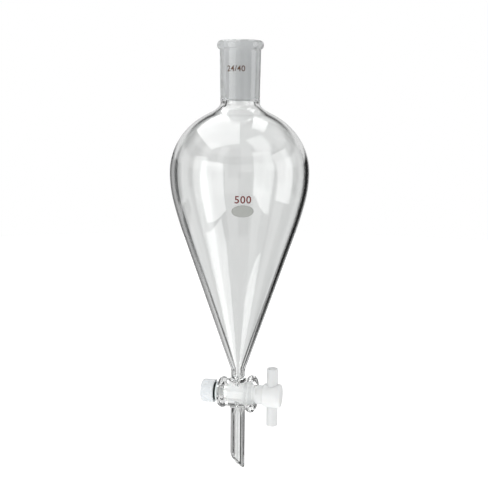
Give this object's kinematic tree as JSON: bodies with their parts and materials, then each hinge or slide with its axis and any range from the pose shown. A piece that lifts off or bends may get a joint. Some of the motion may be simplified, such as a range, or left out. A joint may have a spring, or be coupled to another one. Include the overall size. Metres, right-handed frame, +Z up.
{
  "type": "separatory funnel",
  "caption": "Pear-shaped glass separatory funnel with a rolled-rim ground socket, tapered stopcock with a plastic plug, cross-bar handle, O-ring and tension nut, and a slant-cut drip stem.",
  "frame": {"origin": "on the funnel's axis, in the plane where its cone sits in a 76 mm support ring", "axes": "+Z up along the funnel to its mouth, +X along the stopcock towards its handle, -Y the side that shows the writing spot"},
  "size_m": [0.0996, 0.0996, 0.3164],
  "materials": {
    "clear_glass": "clear fire-polished borosilicate glass",
    "ground_glass": "borosilicate glass, clear outside and matt ground inside",
    "plug_ptfe": "turned white PTFE, satin and slightly translucent",
    "handle_ptfe": "moulded white plastic, satin",
    "washer_ptfe": "turned white PTFE, satin",
    "nut_plastic": "natural translucent moulded plastic",
    "black_rubber": "matt black rubber"
  },
  "bodies": {
    "glass": {"ground_joint": "ground_glass", "pear_bulb": "clear_glass", "stopcock_barrel": "clear_glass", "drip_stem": "clear_glass"},
    "plug": {"stopcock_plug": "plug_ptfe", "handle_bar": "handle_ptfe", "thrust_washer": "washer_ptfe"},
    "ring": {"o_ring": "black_rubber"},
    "nut": {"tension_nut": "nut_plastic"}
  },
  "joints": [
    {"name": "plug_turn", "type": "hinge", "parent": "glass", "child": "plug", "pos_m": [0, 0, -0.1135], "axis": [1, 0, 0], "continuous": true},
    {"name": "nut_travel", "type": "slide", "parent": "plug", "child": "ring", "axis": [-1, 0, 0], "range_m": [0, 0.0076]},
    {"name": "nut_turn", "type": "hinge", "parent": "ring", "child": "nut", "pos_m": [0, 0, -0.1135], "axis": [-1, 0, 0], "range_deg": [0, 1800]}
  ],
  "couplings": [
    {"joint": "nut_travel", "follows": "nut_turn", "m_per_rad": 0.00023873}
  ]
}
